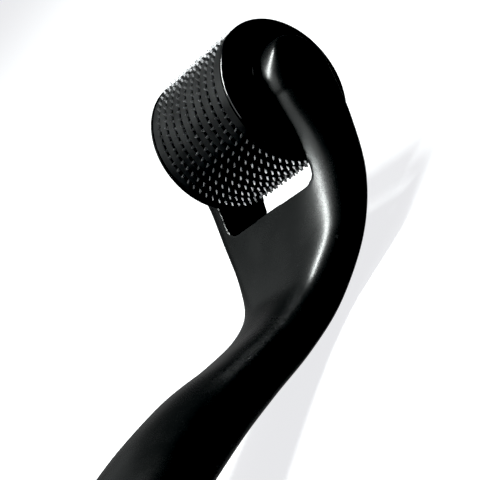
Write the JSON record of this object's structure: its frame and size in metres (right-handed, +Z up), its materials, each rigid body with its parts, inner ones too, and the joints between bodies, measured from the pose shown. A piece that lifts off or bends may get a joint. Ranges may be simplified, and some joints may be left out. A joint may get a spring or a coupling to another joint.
{
  "type": "derma roller",
  "caption": "Hand-held derma roller: slim curved two-shell handle with a fork, and a drum of stacked discs and needle rings that turns on a steel pin.",
  "frame": {"origin": "under the middle of the roller, on the surface it lies on", "axes": "+X from the tail to the drum, Y along the drum's axle, +Z up, with the roller lying on its back"},
  "size_m": [0.1441, 0.0294, 0.0331],
  "materials": {
    "handle_plastic": "satin",
    "disc_plastic": "satin",
    "cap_plastic": "gloss",
    "core_plastic": "moulded",
    "bush_plastic": "moulded",
    "needle_steel": "bright stamped",
    "pin_steel": "ground"
  },
  "bodies": {
    "handle": {"handle_front_shell": "handle_plastic", "handle_back_shell": "handle_plastic", "axle_pin": "pin_steel", "left_spacer_washer": "bush_plastic", "right_spacer_washer": "bush_plastic"},
    "drum": {"drum_core": "core_plastic", "left_bush": "bush_plastic", "right_bush": "bush_plastic", "left_end_cap": "cap_plastic", "right_end_cap": "cap_plastic", "disc_1": "disc_plastic", "disc_2": "disc_plastic", "disc_3": "disc_plastic", "disc_4": "disc_plastic", "disc_5": "disc_plastic", "disc_6": "disc_plastic", "disc_7": "disc_plastic", "disc_8": "disc_plastic", "disc_9": "disc_plastic", "disc_10": "disc_plastic", "needle_ring_1": "needle_steel", "needle_ring_2": "needle_steel", "needle_ring_3": "needle_steel", "needle_ring_4": "needle_steel", "needle_ring_5": "needle_steel", "needle_ring_6": "needle_steel", "needle_ring_7": "needle_steel", "needle_ring_8": "needle_steel", "needle_ring_9": "needle_steel"}
  },
  "joints": [
    {"name": "drum_spin", "type": "hinge", "parent": "handle", "child": "drum", "pos_m": [0.06095, 0, 0.02207], "axis": [0, 1, 0], "continuous": true}
  ]
}
